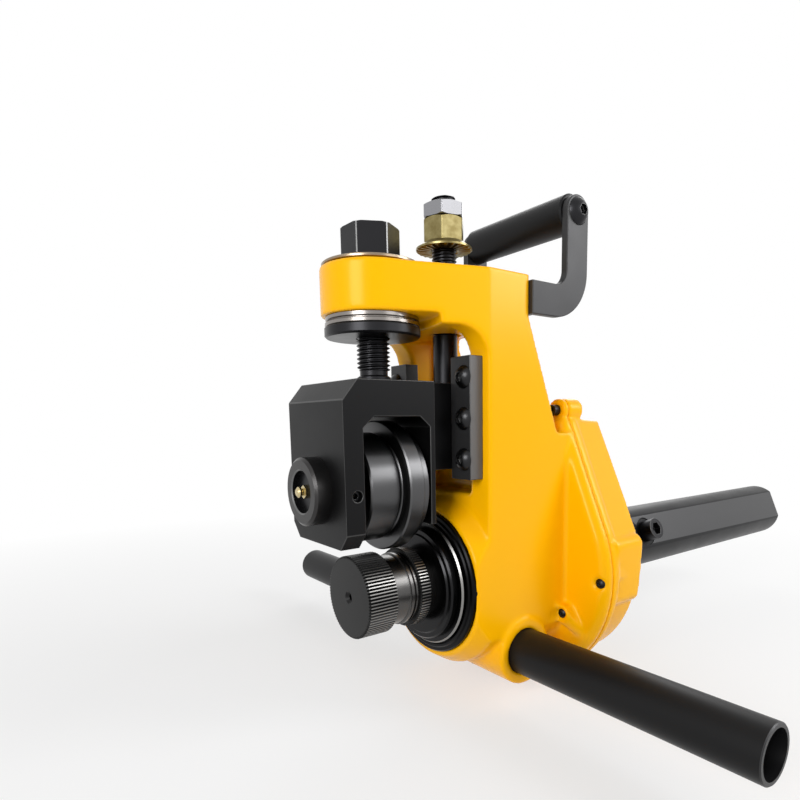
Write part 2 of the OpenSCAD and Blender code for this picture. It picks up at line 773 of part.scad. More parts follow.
// Main shaft, stepped down behind the cover to a stub inside the drive bar
module drive_shaft() color(grey_steel) difference() {
    union() {
        round_y(shaft_r, shaft_front, bar_front);
        round_y(stub_r, bar_front - 1, stub_end);
    }
    round_y(spigot_r + fit, shaft_front - 1, spigot_end + 1);
    translate([-key_w / 2, gear_y, shaft_r - key_h / 2]) cube([key_w, gear_width, key_h]);
    rotate([0, -flat_angle, 0]) round_x(bar_screw_d / 2 + fit, stub_r - 12, stub_r + 1, bar_screw_y);
}

module drive_gear() color(grey_steel) difference() {
    union() {
        along_y(gear_y, gear_y + gear_width) gear_outline(gear_teeth);
        round_y(hub_r, gear_y - 2, gear_y + gear_width + 2);
    }
    difference() {
        round_y(gear_r - 8, gear_y - 1, gear_y + 4);
        round_y(hub_r, gear_y - 2, gear_y + 5);
    }
    difference() {
        round_y(gear_r - 8, gear_y + gear_width - 4, gear_y + gear_width + 1);
        round_y(hub_r, gear_y + gear_width - 5, gear_y + gear_width + 2);
    }
    round_y(shaft_r + fit, gear_y - 3, gear_y + gear_width + 3);
    translate([-key_w / 2 - fit, gear_y - 3, shaft_r - key_h / 2])
        cube([key_w + 2 * fit, gear_width + 6, key_h + fit]);
}
module gear_key() color(bright_steel)
    translate([-key_w / 2 + fit, gear_y + 0.5, shaft_r - key_h / 2 + fit])
        cube([key_w - 2 * fit, gear_width - 1, key_h - 2 * fit]);

// Long bar that the power drive's three-jaw chuck grips on its flats
module drive_bar() color(dark_steel) difference() {
    round_y(bar_r, bar_front, bar_rear - bar_chamfer);
    union() {
        for (k = [0:2]) rotate([0, -flat_angle - k * 120, 0])
            translate([bar_r - flat_depth, flat_start, -bar_r])
                cube([bar_r, thru, 2 * bar_r]);
        round_y(stub_r + fit, bar_front - 1, stub_end + 1);
        rotate([0, -flat_angle, 0]) {
            round_x(bar_screw_d / 2 + fit, 0, bar_r + 1, bar_screw_y);
            round_x(bar_screw_d, bar_r - flat_depth - 1, bar_r + 5, bar_screw_y);
        }
    }
}
module bar_screw() color(dark_steel) rotate([0, -flat_angle, 0])
    translate([bar_r - flat_depth - 1, bar_screw_y, 0]) rotate([0, 0, 90])
        socket_screw(bar_screw_d / 2, 16);

// Small gear on its own shaft, turned by hand through the socket at its rear
module pinion() color(grey_steel) translate([0, 0, pinion_z]) {
    rotate([0, 180 / pinion_teeth * (pinion_teeth % 2 == 0 ? 1 : 0), 0])
        along_y(gear_y - 1, gear_y + gear_width + 1) gear_outline(pinion_teeth);
    round_y(pinion_shaft_r, pinion_front_y - 10, pinion_rear_y);
    round_y(socket_spigot_r, pinion_rear_y - 1, socket_rear - socket_depth);
}

// Round collar on the pinion's end, with a square hole for a ratchet
module ratchet_socket() color(grey_steel) translate([0, 0, pinion_z]) difference() {
    round_y(socket_r, socket_front, socket_rear);
    round_y(socket_spigot_r + fit, socket_front - 1, socket_rear - socket_depth);
    translate([-socket_square / 2, socket_rear - socket_depth, -socket_square / 2])
        cube([socket_square, socket_depth + 1, socket_square]);
}

// Clevis that carries the groove roll, with the tongue that slides in the column
module housing_side_outline() polygon([
    [housing_front, housing_low], [housing_front, housing_top - 11],
    [housing_front + 9, housing_top], [tongue_rear, housing_top], [tongue_rear, tongue_low],
    [housing_rear + 6, tongue_low], [housing_rear + 6, axle_z - 22],
    [rear_wall_start, axle_z - 22], [rear_wall_start, window_top - 6],
    [rear_wall_start - 7, window_top], [window_front + 7, window_top],
    [window_front, window_top - 6], [window_front, housing_low]
]);
module slide_housing() color(black_steel) difference() {
    intersection() {
        rotate([90, 0, 90]) translate([0, 0, -housing_half])
            linear_extrude(2 * housing_half) housing_side_outline();
        union() {
            along_y(housing_front - 1, housing_rear + small) polygon([
                [-housing_half, housing_top + 1], [housing_half, housing_top + 1],
                [housing_half, housing_low + 9], [housing_half - 8, housing_low],
                [8 - housing_half, housing_low], [-housing_half, housing_low + 9]
            ]);
            along_y(housing_rear, column_front + slide_gap)
                translate([slide_gap - plate_inner, 0])
                    square([2 * (plate_inner - slide_gap), housing_top + 1]);
            along_y(column_front + slide_gap, tongue_rear)
                translate([slide_gap - channel_half, 0])
                    square([2 * (channel_half - slide_gap), housing_top + 1]);
        }
    }
    translate([0, screw_y, screw_low]) cylinder(r = screw_hole_r, h = 40);
    round_x(screw_pin_r, -housing_half - 1, 12, screw_y + screw_d / 2, screw_groove_z);
    round_y(axle_r + fit, housing_front - 1, axle_end - axle_end_gap + 1, 0, 0, axle_z);
    translate([0, stud_y, stud_low]) cylinder(r = stud_d / 2 + fit, h = 60);
    round_x(set_screw_r + fit, 0, housing_half + 1, set_screw_y, axle_z - 1);
}

// Headed pin that the groove roll turns on
module roll_axle() color(black_steel) difference() {
    union() {
        round_y(axle_r, housing_front, axle_end - axle_end_gap, 0, 0, axle_z);
        round_y(axle_head_r, housing_front - axle_head_t, housing_front, 0, 0, axle_z);
    }
    round_y(head_recess_r, housing_front - axle_head_t - 1,
        housing_front - axle_head_t + head_recess_d, 0, 0, axle_z);
    round_y(2.5, housing_front - axle_head_t - 1, 10, 0, 0, axle_z);
}
module grease_nipple() color(zinc_yellow)
    translate([0, housing_front - axle_head_t + head_recess_d, axle_z]) rotate([90, 0, 0])
        rotate_extrude() polygon([
            [0, -6], [2.45, -6], [2.45, 0], [3.6, 0], [3.6, 2], [2, 2.8], [2, 4.2], [2.9, 5],
            [2.2, 6.5], [0, 6.5]
        ]);
module axle_set_screw() color(dark_steel) difference() {
    round_x(set_screw_r, axle_r + 0.2, housing_half - 3, set_screw_y, axle_z - 1);
    round_x(set_screw_r * 0.55, housing_half - 7, housing_half, set_screw_y, axle_z - 1);
}
module depth_stud() color(dark_steel) translate([0, stud_y, stud_low])
    cylinder(r = stud_d / 2, h = stud_top - stud_low);

// Upper roll whose ridge presses the pipe wall into the drive roll's groove
module groove_roll() color(black_steel) translate([0, 0, axle_z]) difference() {
    rotate([-90, 0, 0]) rotate_extrude($fn = 120) polygon([
        [roll_bush_r, roll_front_y], [roll_land_r - 1, roll_front_y],
        [roll_land_r, roll_front_y + 1], [roll_land_r, ridge_start - roll_relief],
        [roll_land_r - 2, ridge_start - roll_relief], [roll_land_r - 2, ridge_start],
        [ridge_r - 0.6, ridge_start], [ridge_r, ridge_start + 0.6], [ridge_r, ridge_end - 0.6],
        [ridge_r - 0.6, ridge_end], [rear_ring_r, ridge_end], [rear_ring_r, roll_rear_y - 1],
        [rear_ring_r - 1, roll_rear_y], [roll_bush_r, roll_rear_y]
    ]);
}
module roll_bush() color(bronze)
    round_y(roll_bush_r, roll_front_y, roll_rear_y, axle_r + fit, 0, axle_z);

// Feed screw; it climbs through the feed nut and carries the housing at its plain end
module feed_screw() color(dark_steel) translate([0, screw_y, 0]) difference() {
    union() {
        intersection() {
            translate([0, 0, head_low]) rotate(head_turn)
                cylinder(r = screw_hex / sqrt(3), h = screw_head_h, $fn = 6);
            translate([0, 0, head_low - 1]) cylinder(r1 = screw_hex * 0.49 + screw_head_h + 1.2,
                r2 = screw_hex * 0.49, h = screw_head_h + 1.2);
        }
        translate([0, 0, screw_low]) cylinder(r = screw_d / 2, h = head_low - screw_low + 1);
    }
    translate([0, 0, screw_groove_z - screw_pin_r - 0.1]) difference() {
        cylinder(r = screw_d, h = 2 * screw_pin_r + 0.2);
        translate([0, 0, -1]) cylinder(r = screw_d / 2 - screw_pin_r - 0.1, h = 20);
    }
}

// Pin that runs in the screw's groove, so that the screw also lifts the housing
module screw_pin() color(bright_steel)
    round_x(screw_pin_r - 0.01, -housing_half + 0.5, 12, screw_y + screw_d / 2, screw_groove_z);

module hex_nut(low, height) translate([0, stud_y, low]) difference() {
    intersection() {
        rotate(nut_turn) cylinder(r = nut_hex / sqrt(3), h = height, $fn = 6);
        cylinder(r1 = nut_hex * 0.49 + height, r2 = nut_hex * 0.49 + 0.8, h = height);
    }
    translate([0, 0, -1]) cylinder(r = stud_d / 2 + fit, h = height + 2);
}
module depth_stop_nut() color(zinc_yellow) {
    hex_nut(stop_nut_z + nut_flange_t - 1, stop_nut_h - nut_flange_t + 1);
    translate([0, stud_y, stop_nut_z]) difference() {
        union() {
            cylinder(r = nut_flange_r, h = 1.5);
            translate([0, 0, 1.5]) cylinder(r1 = nut_flange_r, r2 = nut_hex * 0.49,
                h = nut_flange_t - 1.5);
        }
        translate([0, 0, -1]) cylinder(r = stud_d / 2 + fit, h = nut_flange_t + 2);
    }
}
module lock_nut() color(bright_steel) hex_nut(stop_nut_top, lock_nut_h);

main_body();
gear_cover();
cover_screws();
front_bush();
rear_bush();
bearing_retainer();
pinion_front_bush();
pinion_rear_bush();
guide_plate_left();
guide_plate_right();
guide_screws();
top_washer();
nut_shim();
feed_nut();
support_tube();
tube_set_screw();
handle_bracket_left();
handle_bracket_right();
bracket_screws();
handle_grip();
handle_bolts();
drive_roll();
stop_flange();
drive_shaft();
drive_gear();
gear_key();
drive_bar();
bar_screw();
pinion();
ratchet_socket();
slide_housing();
roll_axle();
grease_nipple();
axle_set_screw();
depth_stud();
screw_pin();
groove_roll();
roll_bush();
feed_screw();
depth_stop_nut();
lock_nut();
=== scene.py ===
import math

import bpy
from mathutils import Matrix, Vector


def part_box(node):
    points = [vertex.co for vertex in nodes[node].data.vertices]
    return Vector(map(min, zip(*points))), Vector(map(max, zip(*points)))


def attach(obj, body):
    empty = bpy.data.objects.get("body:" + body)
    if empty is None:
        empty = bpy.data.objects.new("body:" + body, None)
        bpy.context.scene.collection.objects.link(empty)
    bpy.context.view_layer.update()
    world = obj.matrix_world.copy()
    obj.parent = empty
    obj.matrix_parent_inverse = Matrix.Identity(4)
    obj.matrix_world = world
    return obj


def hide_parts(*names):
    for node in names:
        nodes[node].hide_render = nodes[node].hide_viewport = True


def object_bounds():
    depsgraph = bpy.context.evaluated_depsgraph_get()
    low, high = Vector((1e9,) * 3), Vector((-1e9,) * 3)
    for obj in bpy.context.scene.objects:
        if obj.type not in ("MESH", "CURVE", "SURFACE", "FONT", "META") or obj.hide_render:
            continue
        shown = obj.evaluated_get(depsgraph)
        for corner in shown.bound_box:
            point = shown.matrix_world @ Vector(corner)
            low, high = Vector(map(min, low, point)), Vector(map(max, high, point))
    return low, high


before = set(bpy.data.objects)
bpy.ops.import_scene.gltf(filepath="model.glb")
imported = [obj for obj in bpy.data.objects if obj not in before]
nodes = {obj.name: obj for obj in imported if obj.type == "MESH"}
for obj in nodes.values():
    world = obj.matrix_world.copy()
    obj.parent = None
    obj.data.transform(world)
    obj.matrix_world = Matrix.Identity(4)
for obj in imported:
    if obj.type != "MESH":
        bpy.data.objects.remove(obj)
cad_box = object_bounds()

# Cast frame and case cover
# Both are grey iron, sand cast with soft edges and run-out fillets, then sprayed with a gloss
# chrome yellow enamel. The real cover's rear rim is crisper than the solid's, so it is drawn out.


def srgb(code):
    """Turns a hex colour as it looks on screen into the linear values that Blender works in."""
    parts = [int(code[i : i + 2], 16) / 255 for i in (1, 3, 5)]
    return [c / 12.92 if c <= 0.04045 else ((c + 0.055) / 1.055) ** 2.4 for c in parts] + [1.0]


def add(tree, kind, settings=None, links=None):
    """Adds one shader node, sets its inputs or properties, and links its inputs to other nodes."""
    made = tree.nodes.new(kind)
    for name, value in (settings or {}).items():
        if isinstance(name, str) and hasattr(made, name):
            setattr(made, name, value)
        else:
            made.inputs[name].default_value = value
    for name, source in (links or {}).items():
        tree.links.new(source, made.inputs[name])
    return made


def new_finish(name, colour, metallic, roughness, **more):
    """A material with its shader ready, and the object coordinates that its pattern is drawn in."""
    finish = bpy.data.materials.new(name)
    finish.use_nodes = True
    tree = finish.node_tree
    shader = tree.nodes["Principled BSDF"]
    shader.inputs["Base Color"].default_value = srgb(colour)
    shader.inputs["Metallic"].default_value = metallic
    shader.inputs["Roughness"].default_value = roughness
    for key, value in more.items():
        shader.inputs[key.replace("_", " ")].default_value = value
    return finish, tree, shader, add(tree, "ShaderNodeTexCoord").outputs["Object"]


def coat(piece, *finishes):
    """Gives a piece its finishes; the first is on all its faces."""
    piece.data.materials.clear()
    for finish in finishes:
        piece.data.materials.append(finish)


def measure(node, axis):
    """Where a round CAD node's axis lies, where it starts and ends along it, and its radius, in mm.
    CAD circles are polygons, so each is rounded to the tenth that the CAD's sizes are given in."""
    low, high = ([1000 * value for value in corner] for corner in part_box(node))
    middle = [(a + b) / 2 for a, b in zip(low, high)]
    along = "XYZ".index(axis)
    radius = max(high[i] - middle[i] for i in range(3) if i != along)
    middle[along] = 0
    line = [round(value, 1) for value in middle]
    return line, round(low[along], 1), round(high[along], 1), round(radius, 1)


def activate(piece):
    """Selects one piece alone, for the operators that follow."""
    bpy.ops.object.select_all(action="DESELECT")
    bpy.context.view_layer.objects.active = piece
    piece.select_set(True)


def edit_all():
    """Opens the active piece with all of it selected."""
    bpy.ops.object.mode_set(mode="EDIT")
    bpy.ops.mesh.select_all(action="SELECT")


def weld(distance):
    """Joins the open piece's vertices that lie closer together than this many millimetres."""
    bpy.ops.mesh.select_all(action="SELECT")
    bpy.ops.mesh.remove_doubles(threshold=distance / 1000)


def pick(piece, wanted):
    """Opens the active piece with only the vertices selected whose x, y and z in mm pass a test."""
    for corner in piece.data.vertices:
        corner.select = wanted(*[1000 * value for value in corner.co])
    for part in (*piece.data.edges, *piece.data.polygons):
        part.select = False
    bpy.ops.object.mode_set(mode="EDIT")
    bpy.ops.mesh.select_mode(type="VERT")


def twin(node, name, body):
    """A merged copy of a CAD node that stands for it, selected and ready to be shaped."""
    piece = bpy.data.objects.new(name, nodes[node].data.copy())
    bpy.context.collection.objects.link(piece)
    activate(piece)
    edit_all()
    weld(0.005)
    bpy.ops.object.mode_set(mode="OBJECT")
    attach(piece, body)
    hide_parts(node)
    return piece


def modify(kind, **settings):
    """Adds a modifier to the active piece and applies it at once."""
    modifier = bpy.context.object.modifiers.new(kind.lower(), kind)
    for name, value in settings.items():
        setattr(modifier, name, value)
    bpy.ops.object.modifier_apply(modifier=modifier.name)


enamel, tree, shader, place = new_finish(
    "gloss_yellow_enamel", "#FFB900", 0.0, 0.26,
    Specular_IOR_Level=0.28, Specular_Tint=srgb("#FFE7B0"),
)
peel = add(tree, "ShaderNodeTexNoise", {"Scale": 260.0, "Detail": 2.0}, {"Vector": place})
lump = add(tree, "ShaderNodeTexNoise", {"Scale": 45.0, "Detail": 2.0}, {"Vector": place})
both = add(
    tree, "ShaderNodeMath", {"operation": "MULTIPLY_ADD", 1: 0.35},
    {0: peel.outputs["Fac"], 2: lump.outputs["Fac"]},
)
skin = add(
    tree, "ShaderNodeBump", {"Strength": 0.08, "Distance": 0.0006}, {"Height": both.outputs[0]}
)
tree.links.new(skin.outputs["Normal"], shader.inputs["Normal"])

pinion_line = measure("pinion", "Y")[0]
shaft_boss_r = 45
pinion_boss_r = 21
rim_front_y = 185.5
rim_low_z = -0.5
rim_stretch = (1.075, 1, 1.05)
smoothing_passes = 5


def on_rear_rim(x, y, z):
    """Tells if a point is on the cover's upper rear rim, clear of the two bosses on its back."""
    off_shaft = math.hypot(x, z) > shaft_boss_r
    off_pinion = math.hypot(x, z - pinion_line[2]) > pinion_boss_r
    return y > rim_front_y and z > rim_low_z and off_shaft and off_pinion


for node, voxel in (("main_body", 1.4), ("gear_cover", 1.2)):
    casting = twin(node, "cast_" + node, "frame")
    if node == "gear_cover":
        pick(casting, on_rear_rim)
        bpy.ops.transform.resize(value=rim_stretch, center_override=(0, 0, 0))
        bpy.ops.object.mode_set(mode="OBJECT")
    modify("REMESH", mode="VOXEL", voxel_size=voxel / 1000, use_smooth_shade=True)
    modify("SMOOTH", factor=0.5, iterations=smoothing_passes)
    coat(casting, enamel)
    bpy.ops.object.shade_smooth()

# Feed nut, its rings and the top washer
# A turned steel nut with a thick flange bears up against the arm through two hardened rings.
# The nut is oil blackened; the rings and the spring steel washer on top are bright.


def steel(name, colour, metallic, roughness, grain=None):
    """A metal finish. Its grain is a scale, the least and greatest roughness, and a bump: the
    roughness wanders between the two, and the surface itself is a little rough."""
    finish, tree, shader, place = new_finish(name, colour, metallic, roughness)
    if grain:
        scale, low, high, bump = grain
        cloud = add(tree, "ShaderNodeTexNoise", {"Scale": scale, "Detail": 4.0}, {"Vector": place})
        dull = add(
            tree, "ShaderNodeMapRange", {"To Min": low, "To Max": high},
            {"Value": cloud.outputs["Fac"]},
        )
        tree.links.new(dull.outputs["Result"], shader.inputs["Roughness"])
        fine = add(
            tree, "ShaderNodeTexNoise", {"Scale": scale * 11, "Detail": 3.0}, {"Vector": place}
        )
        pits = add(
            tree, "ShaderNodeBump", {"Strength": bump, "Distance": 0.0002},
            {"Height": fine.outputs["Fac"]},
        )
        tree.links.new(pits.outputs["Normal"], shader.inputs["Normal"])
    return finish


def collar(low, high, radius, start, end):
    """An outline's stretch at one radius, with a chamfer of (length, depth) at each end."""
    return [
        (low, radius - start[1]), (low + start[0], radius),
        (high - end[0], radius), (high, radius - end[1]),
    ]


def lathe(name, body, axis, line, outline, steps=96, ring=False):
    """Turns an outline of (place along the axis, radius) in millimetres, as on a lathe: a circle is
    extruded and scaled from point to point. A ring's outline is closed round its open bore."""
    if ring:
        outline = [*outline, outline[0]]
    middle = Vector(line) / 1000
    along = Vector([float(letter == axis) for letter in "XYZ"])
    tilt = {"X": (0, math.pi / 2, 0), "Y": (-math.pi / 2, 0, 0), "Z": (0, 0, 0)}[axis]
    bpy.ops.mesh.primitive_circle_add(
        vertices=steps, radius=outline[0][1] / 1000, fill_type="NOTHING" if ring else "NGON",
        location=middle + along * outline[0][0] / 1000, rotation=tilt,
    )
    piece = bpy.context.object
    piece.name = name
    bpy.ops.object.transform_apply(location=True, rotation=True, scale=True)
    edit_all()
    for (was, r_was), (now, r_now) in zip(outline, outline[1:]):
        bpy.ops.mesh.extrude_region_move(
            TRANSFORM_OT_translate={"value": along * (now - was) / 1000}
        )
        bpy.ops.transform.resize(
            value=(r_now / r_was,) * 3, center_override=middle + along * now / 1000
        )
    bpy.ops.mesh.select_all(action="SELECT")
    if ring:
        weld(0.002)
    bpy.ops.mesh.normals_make_consistent(inside=False)
    bpy.ops.object.mode_set(mode="OBJECT")
    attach(piece, body)
    return piece


def smooth(angle=30):
    """Shades the active piece smooth, but keeps edges sharper than the angle crisp."""
    bpy.ops.object.shade_smooth_by_angle(angle=math.radians(angle))


screw_line, nut_low, nut_high, nut_r = measure("feed_nut", "Z")
_, rings_low, rings_high, lower_ring_r = measure("nut_shim", "Z")
_, washer_low, washer_high, washer_r = measure("top_washer", "Z")
screw_hole_r = 10.2
nut_body_r = 15.9
nut_top_gap = 0.05
hair = 0.02
upper_ring_r = lower_ring_r - 0.4
ring_neck_r = lower_ring_r - 1.9
ring_bore_r = 17
neck_low = (rings_low + rings_high) / 2 - 0.4
neck_high = neck_low + 0.8

black_oxide = steel("black_oxide_steel", "#2A2A2C", 0.9, 0.36, grain=(60.0, 0.28, 0.42, 0.05))
bright = steel("bright_turned_steel", "#8E8E91", 1.0, 0.26, grain=(70.0, 0.2, 0.32, 0.02))
warm = steel("straw_tempered_steel", "#94836E", 1.0, 0.24, grain=(50.0, 0.2, 0.34, 0.02))
ring_steel = steel("hardened_ring_steel", "#8B8682", 1.0, 0.24, grain=(50.0, 0.2, 0.3, 0.02))

nut = lathe("feed_nut_turned", "frame", "Z", screw_line, [
    (nut_low, screw_hole_r),
    *collar(nut_low, rings_low, nut_r, (1.1, 1.1), (0.6, 0.7)),
    (rings_low, nut_body_r), (nut_high - nut_top_gap, nut_body_r),
    (nut_high - nut_top_gap, screw_hole_r),
], ring=True)
smooth()
coat(nut, black_oxide)
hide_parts("feed_nut")
rings = lathe("nut_rings_turned", "frame", "Z", screw_line, [
    (rings_low + hair, ring_bore_r),
    *collar(rings_low + hair, neck_low, lower_ring_r, (0.48, 0.5), (0.4, 0.5)),
    (neck_low, ring_neck_r), (neck_high, ring_neck_r),
    *collar(neck_high, rings_high - hair, upper_ring_r, (0.4, 0.5), (0.38, 0.4)),
    (rings_high - hair, ring_bore_r),
], ring=True)
smooth()
coat(rings, ring_steel)
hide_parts("nut_shim")
washer = lathe("top_washer_turned", "frame", "Z", screw_line, [
    (washer_low + hair, ring_bore_r),
    *collar(washer_low + hair, washer_high, washer_r, (0.38, 0.4), (0.5, 0.6)),
    (washer_high, ring_bore_r),
], ring=True)
smooth()
coat(washer, warm)
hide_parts("top_washer")

# Feed screw
# A black oxided M20 screw of 2.5 mm pitch, with a plain turned end that sits in the housing and a
# forged hexagon head. The strips along its corners are bright steel: partly wear where the wrench
# bears, partly a painted highlight along the edges.


def thread(name, body, line, radius, pitch, low, high):
    """A screw thread of real pitch: its profile is drawn point by point, wound up and cut square."""
    depth = 0.6 * pitch
    crest, flank, root = 0.12 * pitch, 0.33 * pitch, 0.22 * pitch
    turns_below, turns_spare = 2, 4
    bpy.ops.mesh.primitive_plane_add(size=0.001, location=Vector(line) / 1000)
    piece = bpy.context.object
    piece.name = name
    edit_all()
    bpy.ops.mesh.merge(type="CENTER")
    bpy.ops.transform.translate(value=(radius / 1000, 0, (low - turns_below * pitch) / 1000))
    for out, up in ((0, crest), (-depth, flank), (0, root), (depth, flank)):
        bpy.ops.mesh.extrude_region_move(
            TRANSFORM_OT_translate={"value": (out / 1000, 0, up / 1000)}
        )
    bpy.ops.object.mode_set(mode="OBJECT")
    modify(
        "SCREW", axis="Z", angle=2 * math.pi, steps=40, render_steps=40,
        screw_offset=pitch / 1000, iterations=int((high - low) / pitch) + turns_spare,
        use_merge_vertices=True, merge_threshold=0.000002,
    )
    bpy.ops.object.transform_apply(location=True, rotation=True, scale=True)
    edit_all()
    weld(0.005)
    for level, above in ((low, False), (high, True)):
        bpy.ops.mesh.select_all(action="SELECT")
        bpy.ops.mesh.bisect(
            plane_co=(0, 0, level / 1000), plane_no=(0, 0, 1), use_fill=True,
            clear_outer=above, clear_inner=not above,
        )
    weld(0.02)
    bpy.ops.mesh.normals_make_consistent(inside=False)
    bpy.ops.object.mode_set(mode="OBJECT")
    smooth(40)
    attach(piece, body)
    return piece


def hexagon(name, body, line, across, turn, outline, ring=True):
    """A hexagon bar, its corners just broken, cut down to a turned outline with its chamfers. One
    of its corners points along the bearing that turn gives, in degrees."""
    corner_break = 0.5
    low = outline[0][0] - 1
    high = max(point[0] for point in outline) + 1
    bpy.ops.mesh.primitive_circle_add(
        vertices=6, radius=across / math.sqrt(3) / 1000, fill_type="NGON",
        location=Vector((line[0], line[1], low)) / 1000,
        rotation=(0, 0, math.radians(turn - 30)),
    )
    piece = bpy.context.object
    piece.name = name
    bpy.ops.object.transform_apply(location=True, rotation=True, scale=True)
    edit_all()
    bpy.ops.mesh.bevel(offset=corner_break / 1000, segments=1, affect="VERTICES")
    bpy.ops.mesh.select_all(action="SELECT")
    bpy.ops.mesh.extrude_region_move(
        TRANSFORM_OT_translate={"value": (0, 0, (high - low) / 1000)}
    )
    bpy.ops.mesh.select_all(action="SELECT")
    bpy.ops.mesh.normals_make_consistent(inside=False)
    bpy.ops.object.mode_set(mode="OBJECT")
    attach(piece, body)
    turned = lathe(name + "_outline", body, "Z", line, outline, ring=ring)
    activate(piece)
    modify("BOOLEAN", operation="INTERSECT", object=turned, solver="EXACT")
    bpy.data.objects.remove(turned)
    smooth(20)
    return piece


def refinish(piece, slot, test):
    """Gives the faces that pass a test another of the piece's finishes."""
    for face in piece.data.polygons:
        if test(face):
            face.material_index = slot


_, screw_low, screw_high, _ = measure("feed_screw", "Z")
pin_line, _, _, pin_r = measure("screw_pin", "X")
core_r = 0.6
screw_r = 9.85
screw_pitch = 2.5
thread_low = 136
head_across = 30
head_turn = 2
head_corner_r = 17.3
head_past_r = 18.5
head_low = screw_high - 17
head_cone = 0.6
end_r = 9.9
pin_groove_r = 7.4
pin_groove_low = pin_line[2] - pin_r - 0.1
pin_groove_high = pin_line[2] + pin_r + 0.1
run_out_r = 8.3
# Bright steel for the head's corner wear, and for painted highlights on those corners, on the axle's
# dish chamfer and on the guide screws' socket floors.
wear_and_highlight = steel("wear_and_highlight_edge_steel", "#6C6C6C", 1.0, 0.32)


def on_head_corner(face):
    """Tells if a face of the head is one of the six strips along its broken corners."""
    bearing = math.degrees(math.atan2(face.normal.y, face.normal.x)) - head_turn
    off_corner = abs((bearing + 30) % 60 - 30)
    return abs(face.normal.z) < 0.2 and off_corner < 8


head = hexagon("feed_screw_head", "screw", screw_line, head_across, head_turn, [
    (head_low, head_past_r), (screw_high - head_cone, head_past_r),
    (screw_high - head_cone, head_corner_r), (screw_high, head_corner_r - 1.2),
    (screw_high, core_r),
], ring=False)
coat(head, black_oxide, wear_and_highlight)
# The corner strips get the bright steel: partly wear, partly a painted highlight along the edges.
refinish(head, 1, on_head_corner)
shank = thread(
    "feed_screw_thread", "screw", screw_line, screw_r, screw_pitch, thread_low, head_low - 0.1
)
plain = lathe("feed_screw_end", "screw", "Z", screw_line, [
    (screw_low, end_r - 1.3), (screw_low + 1.1, end_r),
    (pin_groove_low, end_r), (pin_groove_low, pin_groove_r),
    (pin_groove_high, pin_groove_r), (pin_groove_high, end_r),
    (thread_low - 4, end_r), (thread_low - 3, run_out_r), (thread_low + 0.1, run_out_r),
])
smooth()
coat(shank, black_oxide)
coat(plain, black_oxide)
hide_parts("feed_screw")

# Depth stop
# A black M16 stud of 2 mm pitch screwed into the housing. A yellow passivated flange nut with
# serrations under its flange is the stop, and a plain bright nut locks it.

stud_line, stud_low, stud_high, _ = measure("depth_stud", "Z")
_, stop_low, stop_high, flange_r = measure("depth_stop_nut", "Z")
_, lock_low, lock_high, _ = measure("lock_nut", "Z")
stud_r = 7.9
stud_pitch = 2.0
stud_thread_low = 160
nut_across = 24
nut_turn = 17
nut_bore_r = 8.05
nut_sink_r = 8.9
nut_corner_r = 13.9
nut_past_r = 15
nut_gap = 0.05
flange_steps = 96
serration_steps = 4
serration_depth = 0.7

stud = thread(
    "depth_stud_thread", "slide", stud_line, stud_r, stud_pitch, stud_thread_low, stud_high - 0.5
)
rod = lathe("depth_stud_rod", "slide", "Z", stud_line, [
    (stud_low + 0.5, stud_r - 1.4), (stud_low + 1.5, stud_r), (stud_thread_low + 0.1, stud_r),
])
smooth()
point = lathe("depth_stud_point", "slide", "Z", stud_line, [
    (stud_high - 1, stud_r - 1.3), (stud_high - 0.5, stud_r - 1.3), (stud_high, stud_r - 2),
])
smooth()
for part in (stud, rod, point):
    coat(part, black_oxide)
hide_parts("depth_stud")

zinc, tree, shader, place = new_finish("yellow_passivated_zinc", "#948960", 1.0, 0.34)
spangle = add(tree, "ShaderNodeTexNoise", {"Scale": 220.0, "Detail": 3.0}, {"Vector": place})
tint = add(tree, "ShaderNodeValToRGB", None, {"Fac": spangle.outputs["Fac"]})
tint.color_ramp.elements[0].position = 0.35
tint.color_ramp.elements[0].color = srgb("#786C45")
tint.color_ramp.elements[1].position = 0.7
tint.color_ramp.elements[1].color = srgb("#948960")
tree.links.new(tint.outputs["Color"], shader.inputs["Base Color"])


def crown(top, cone, flat_r):
    """A nut's upper end: its corners are turned off along a cone, and its bore is countersunk."""
    return [
        (top - cone, nut_past_r), (top - cone, nut_corner_r), (top - nut_gap, flat_r),
        (top - nut_gap, nut_sink_r), (top - 0.9, nut_bore_r),
    ]


def in_serration(x, y, z):
    """Tells if a point is under the flange's rim, in the half of each serration that is cut away."""
    y -= stud_line[1]
    step = round(math.atan2(y, x) / (2 * math.pi) * flange_steps)
    under_rim = z < stop_low + 0.1 and math.hypot(x, y) > flange_r - 2.4
    return under_rim and step % serration_steps < serration_steps / 2


stop = hexagon("stop_nut_hexagon", "stop_nuts", stud_line, nut_across, nut_turn, [
    (stop_low + 3, nut_bore_r), (stop_low + 3, nut_past_r), *crown(stop_high, 1.6, 11.6),
])
coat(stop, zinc)
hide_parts("depth_stop_nut")
flange = lathe("stop_nut_flange", "stop_nuts", "Z", stud_line, [
    (stop_low, nut_bore_r + 1.45), (stop_low, flange_r - 1), (stop_low + 0.7, flange_r),
    (stop_low + 1.8, flange_r), (stop_low + 2.7, flange_r - 1.6), (stop_low + 5.1, 13.0),
    (stop_low + 5.1, nut_bore_r), (stop_low + 1.1, nut_bore_r),
], steps=flange_steps, ring=True)
pick(flange, in_serration)
bpy.ops.transform.translate(value=(0, 0, serration_depth / 1000))
bpy.ops.object.mode_set(mode="OBJECT")
smooth(20)
coat(flange, zinc)
lock = hexagon("lock_nut_hexagon", "stop_nuts", stud_line, nut_across, nut_turn, [
    (lock_low + nut_gap, nut_sink_r), (lock_low + nut_gap, 12.4), (lock_low + 0.8, nut_corner_r),
    (lock_low + 0.8, nut_past_r), *crown(lock_high, 1.1, 11.8), (lock_low + 0.9, nut_bore_r),
])
coat(lock, bright)
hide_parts("lock_nut")
